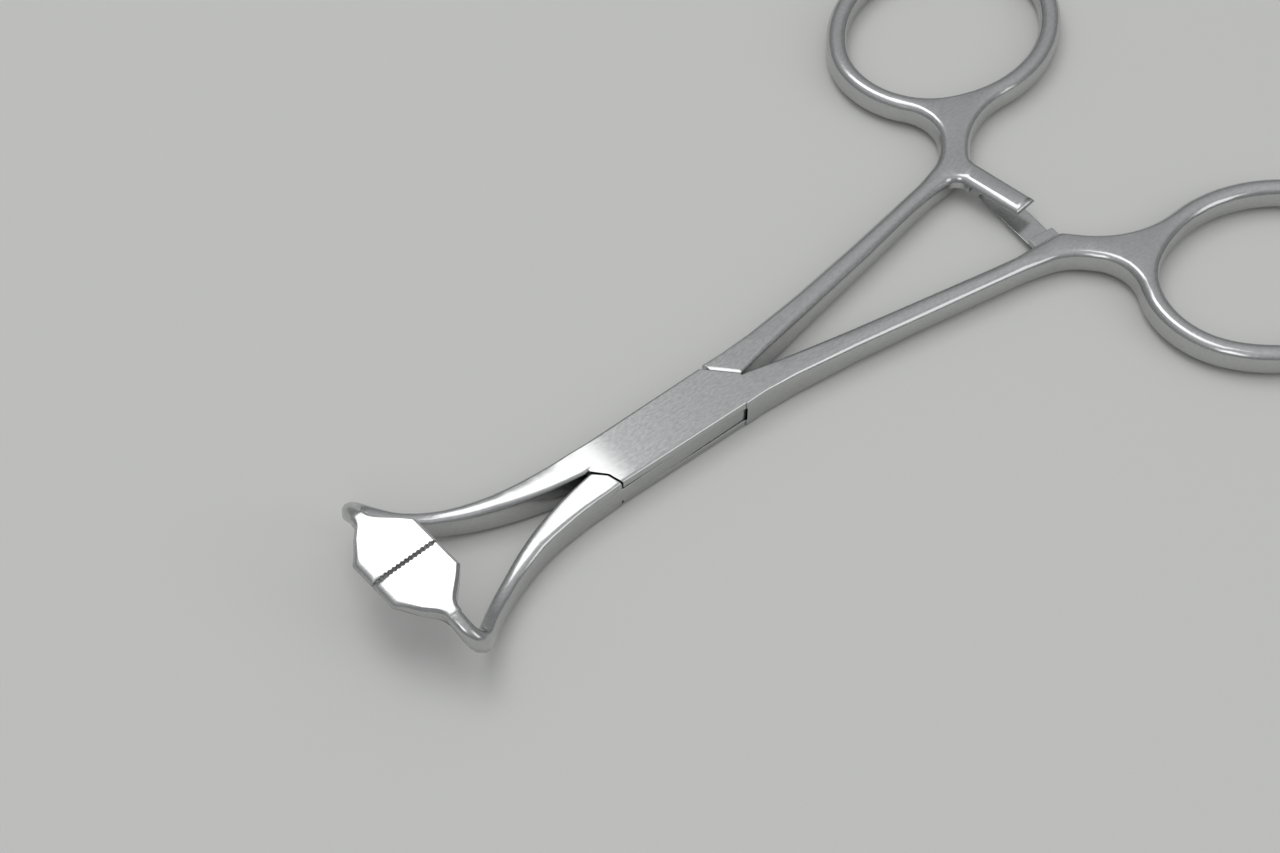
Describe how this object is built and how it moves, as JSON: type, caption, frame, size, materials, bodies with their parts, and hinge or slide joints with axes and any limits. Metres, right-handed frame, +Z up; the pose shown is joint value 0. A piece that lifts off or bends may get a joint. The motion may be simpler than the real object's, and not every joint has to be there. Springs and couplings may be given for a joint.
{
  "type": "towel forceps",
  "caption": "Small box-lock forceps with two finger rings, a ratchet and flat serrated jaw plates that hold drapes without piercing them.",
  "frame": {"origin": "on the axis of the lock pin, at the underside of the box lock", "axes": "+X runs along the closed instrument to the jaws, +Z is up out of the face with the visible jaw plates, +Y is to the left when looking towards the jaws"},
  "size_m": [0.1319, 0.087, 0.0095],
  "materials": {
    "satin_steel": "satin, with polished jaw plates",
    "pin_steel": "ground flush and satin"
  },
  "bodies": {
    "box_side": {"box_half": "satin_steel", "lock_pin": "pin_steel"},
    "through_side": {"through_half": "satin_steel"}
  },
  "joints": [
    {"name": "box_lock", "type": "hinge", "parent": "box_side", "child": "through_side", "pos_m": [0, 0, 0], "axis": [0, 0, 1], "range_deg": [0, 50]}
  ]
}
